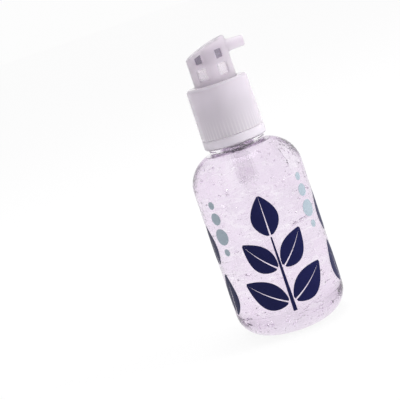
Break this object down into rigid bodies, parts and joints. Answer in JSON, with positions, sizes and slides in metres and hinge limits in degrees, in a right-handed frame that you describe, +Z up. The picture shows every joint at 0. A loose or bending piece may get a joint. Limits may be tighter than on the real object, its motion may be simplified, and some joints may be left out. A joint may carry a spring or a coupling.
{
  "type": "pump oil bottle",
  "caption": "Clear round bottle of massage gel with a screw-on dispensing pump: ribbed closure under a smooth collar, sprung push head with spout.",
  "frame": {"origin": "centre of the base, on the surface that the bottle stands on", "axes": "+Z up along the bottle's axis, +X along the spout at rest, -Y towards the pictured front"},
  "size_m": [0.045, 0.045, 0.1191],
  "materials": {
    "clear_bottle": "clear blown plastic, glossy",
    "gel": "clear thick gel with air bubbles",
    "frosted_plastic": "translucent natural plastic, satin",
    "natural_plastic": "natural moulded plastic",
    "soft_plastic": "soft natural plastic, satin",
    "seal_foam": "closed-cell foam",
    "steel": "bright stainless steel"
  },
  "bodies": {
    "bottle": {"bottle": "clear_bottle", "gel_fill": "gel"},
    "pump": {"pump_housing": "natural_plastic", "neck_gasket": "seal_foam", "ball_cage": "natural_plastic", "return_spring": "steel", "stem_seal": "soft_plastic", "guide_bush": "natural_plastic", "dip_tube": "soft_plastic"},
    "closure_set": {"closure": "frosted_plastic", "shroud": "frosted_plastic"},
    "plunger": {"piston": "soft_plastic"},
    "head": {"actuator": "frosted_plastic", "stem": "natural_plastic"},
    "inlet_valve": {"inlet_ball": "steel"},
    "outlet_valve": {"outlet_ball": "steel"}
  },
  "joints": [
    {"name": "closure_turn", "type": "hinge", "parent": "pump", "child": "closure_set", "pos_m": [0, 0, 0.086], "axis": [0, 0, 1], "range_deg": [0, 540]},
    {"name": "pump_lift", "type": "slide", "parent": "bottle", "child": "pump", "axis": [0, 0, 1], "range_m": [0, 0.00476]},
    {"name": "pump_stroke", "type": "slide", "parent": "pump", "child": "plunger", "axis": [0, 0, -1], "range_m": [0, 0.005], "stiffness_N_per_m": 700, "springref_m": -0.005, "deforming": ["return_spring"]},
    {"name": "head_swivel", "type": "hinge", "parent": "plunger", "child": "head", "pos_m": [0, 0, 0.11], "axis": [0, 0, 1], "continuous": true},
    {"name": "inlet_ball_lift", "type": "slide", "parent": "pump", "child": "inlet_valve", "axis": [0, 0, 1], "range_m": [0, 0.0008]},
    {"name": "outlet_ball_lift", "type": "slide", "parent": "head", "child": "outlet_valve", "axis": [0, 0, 1], "range_m": [0, 0.0005]}
  ],
  "couplings": [
    {"joint": "closure_turn", "follows": "pump_lift", "rad_per_m": 1979}
  ]
}
